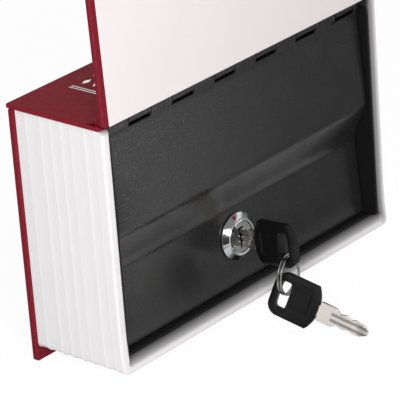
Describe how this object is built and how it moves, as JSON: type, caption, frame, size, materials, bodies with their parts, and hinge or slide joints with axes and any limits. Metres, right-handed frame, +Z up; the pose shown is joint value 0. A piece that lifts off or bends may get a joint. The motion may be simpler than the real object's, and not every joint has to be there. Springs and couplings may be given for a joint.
{
  "type": "book diversion safe",
  "caption": "Hollow hardback book whose page block hides a steel box with a keyed hinged lid, a split ring and a spare key.",
  "frame": {"origin": "middle of the back cover board's lower edge, on the floor, with the book standing on its fore-edge", "axes": "+X along the spine, -Y out of the lid towards the viewer, +Z up from the fore-edge to the spine"},
  "size_m": [0.18, 0.1075, 0.2309],
  "materials": {
    "cover_board": "matt red book cloth over board",
    "spine_board": "matt wine-red book cloth over board",
    "lining": "matt pale pinkish paper",
    "page_plastic": "white moulding ribbed like page edges",
    "black_paint": "semi-gloss black paint",
    "chrome_plate": "bright",
    "zinc_plate": "zinc plated",
    "key_steel": "nickel plated and milled",
    "key_plastic": "black moulding"
  },
  "bodies": {
    "book": {"back_cover_board": "cover_board", "spine_board": "spine_board", "page_block": "page_plastic", "safe_box": "black_paint", "hinge_leaf": "black_paint", "hinge_pin": "zinc_plate", "strike": "black_paint"},
    "front_cover": {"front_cover_board": "cover_board", "front_cover_lining": "lining"},
    "lid": {"lid_panel": "black_paint", "lock_housing": "chrome_plate", "lock_nut": "zinc_plate"},
    "plug": {"lock_plug": "chrome_plate", "lock_cam": "zinc_plate", "cam_washer": "zinc_plate", "cam_screw": "zinc_plate"},
    "key_1": {"key_1_blade": "key_steel", "key_1_bow": "key_plastic"},
    "ring": {"split_ring": "chrome_plate"},
    "key_2": {"key_2_blade": "key_steel", "key_2_bow": "key_plastic"}
  },
  "joints": [
    {"name": "cover_hinge", "type": "hinge", "parent": "book", "child": "front_cover", "pos_m": [0, -0.0517, 0.1155], "axis": [-1, 0, 0], "range_deg": [-155, 3]},
    {"name": "lid_hinge", "type": "hinge", "parent": "book", "child": "lid", "pos_m": [0, -0.0423, 0.1105], "axis": [-1, 0, 0], "range_deg": [-4.2, 90]},
    {"name": "lock_turn", "type": "hinge", "parent": "lid", "child": "plug", "pos_m": [-0.0025, -0.0397, 0.0326], "axis": [0, 0.9973, -0.0732], "range_deg": [-90, 0]},
    {"name": "key_pull", "type": "slide", "parent": "plug", "child": "key_1", "axis": [0, -0.9973, 0.0732], "range_m": [0, 0.025]},
    {"name": "ring_swing", "type": "hinge", "parent": "key_1", "child": "ring", "pos_m": [-0.0025, -0.06697, 0.02989], "axis": [-0.9803, -0.1977, 0], "range_deg": [-8, 60]},
    {"name": "key_2_swing", "type": "hinge", "parent": "ring", "child": "key_2", "pos_m": [-0.00761, -0.068, 0.01445], "axis": [-0.7798, -0.1572, 0.606], "range_deg": [-15, 32]}
  ]
}
